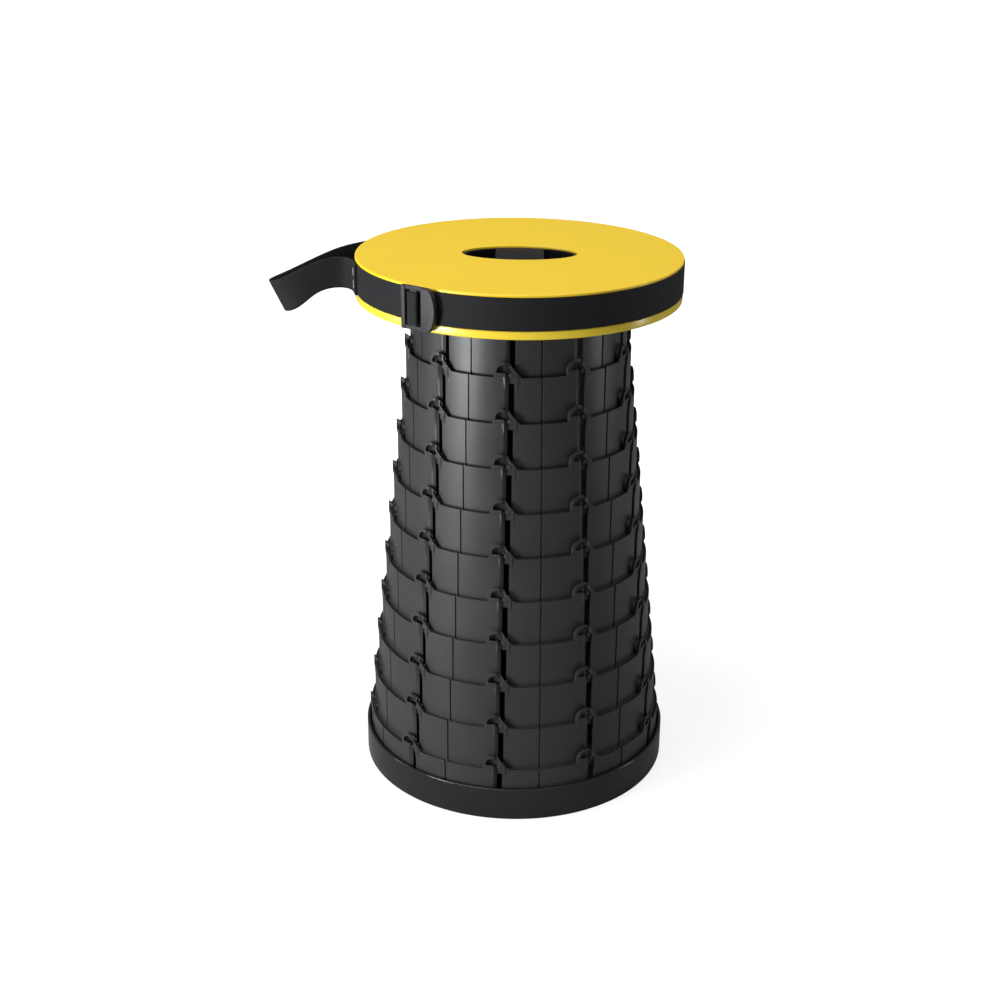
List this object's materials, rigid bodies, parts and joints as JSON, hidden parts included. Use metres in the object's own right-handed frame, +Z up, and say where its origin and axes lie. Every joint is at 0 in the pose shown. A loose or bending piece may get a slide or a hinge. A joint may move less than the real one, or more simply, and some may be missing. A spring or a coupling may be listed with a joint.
{
  "type": "folding stool",
  "caption": "Round telescopic stool: a yellow seat with a handle and strap on a column of nested dark rings that slide down into the base.",
  "frame": {"origin": "on the stool's axis, in the plane of the floor that it stands on", "axes": "+Z up along the axis, -Y towards the front with the strap's buckle at its left, -X towards the carry loop"},
  "size_m": [0.3328, 0.2658, 0.4505],
  "materials": {
    "base_black": "glossy moulded plastic",
    "ring_charcoal": "satin moulded plastic",
    "seat_yellow": "semi-gloss moulded plastic",
    "handle_grey": "satin moulded plastic",
    "webbing_black": "woven webbing",
    "buckle_black": "satin moulded plastic",
    "foot_rubber": "matt rubber",
    "screw_steel": "zinc-plated steel"
  },
  "bodies": {
    "base": {"base_pan": "base_black", "foot_pad_1": "foot_rubber", "foot_pad_2": "foot_rubber", "foot_pad_3": "foot_rubber", "foot_pad_4": "foot_rubber", "foot_pad_5": "foot_rubber", "foot_pad_6": "foot_rubber", "ring_11": "ring_charcoal"},
    "stage_10": {"ring_10": "ring_charcoal"},
    "stage_09": {"ring_09": "ring_charcoal"},
    "stage_08": {"ring_08": "ring_charcoal"},
    "stage_07": {"ring_07": "ring_charcoal"},
    "stage_06": {"ring_06": "ring_charcoal"},
    "stage_05": {"ring_05": "ring_charcoal"},
    "stage_04": {"ring_04": "ring_charcoal"},
    "stage_03": {"ring_03": "ring_charcoal"},
    "stage_02": {"ring_02": "ring_charcoal"},
    "stage_01": {"ring_01": "ring_charcoal"},
    "seat": {"seat_shell": "seat_yellow", "seat_lip": "seat_yellow", "seat_handle": "handle_grey", "seat_collar": "ring_charcoal", "collar_screws": "screw_steel"},
    "strap": {"strap_band": "webbing_black", "carry_loop": "webbing_black"},
    "buckle": {"strap_buckle": "buckle_black", "buckle_wrap": "webbing_black"}
  },
  "joints": [
    {"name": "stage_10_slide", "type": "slide", "parent": "base", "child": "stage_10", "axis": [0, 0, 1], "range_m": [-0.0365, 0]},
    {"name": "stage_09_slide", "type": "slide", "parent": "stage_10", "child": "stage_09", "axis": [0, 0, 1], "range_m": [-0.0365, 0]},
    {"name": "stage_08_slide", "type": "slide", "parent": "stage_09", "child": "stage_08", "axis": [0, 0, 1], "range_m": [-0.0365, 0]},
    {"name": "stage_07_slide", "type": "slide", "parent": "stage_08", "child": "stage_07", "axis": [0, 0, 1], "range_m": [-0.0365, 0]},
    {"name": "stage_06_slide", "type": "slide", "parent": "stage_07", "child": "stage_06", "axis": [0, 0, 1], "range_m": [-0.0365, 0]},
    {"name": "stage_05_slide", "type": "slide", "parent": "stage_06", "child": "stage_05", "axis": [0, 0, 1], "range_m": [-0.0365, 0]},
    {"name": "stage_04_slide", "type": "slide", "parent": "stage_05", "child": "stage_04", "axis": [0, 0, 1], "range_m": [-0.0365, 0]},
    {"name": "stage_03_slide", "type": "slide", "parent": "stage_04", "child": "stage_03", "axis": [0, 0, 1], "range_m": [-0.0365, 0]},
    {"name": "stage_02_slide", "type": "slide", "parent": "stage_03", "child": "stage_02", "axis": [0, 0, 1], "range_m": [-0.0365, 0]},
    {"name": "stage_01_slide", "type": "slide", "parent": "stage_02", "child": "stage_01", "axis": [0, 0, 1], "range_m": [-0.0365, 0]},
    {"name": "seat_slide", "type": "slide", "parent": "stage_01", "child": "seat", "axis": [0, 0, 1], "range_m": [-0.0219, 0]},
    {"name": "strap_turn", "type": "hinge", "parent": "seat", "child": "strap", "pos_m": [0, 0, 0.4351], "axis": [0, 0, 1], "continuous": true},
    {"name": "buckle_shift", "type": "hinge", "parent": "strap", "child": "buckle", "pos_m": [0, 0, 0.4337], "axis": [0, 0, 1], "range_deg": [-25, 45]}
  ]
}
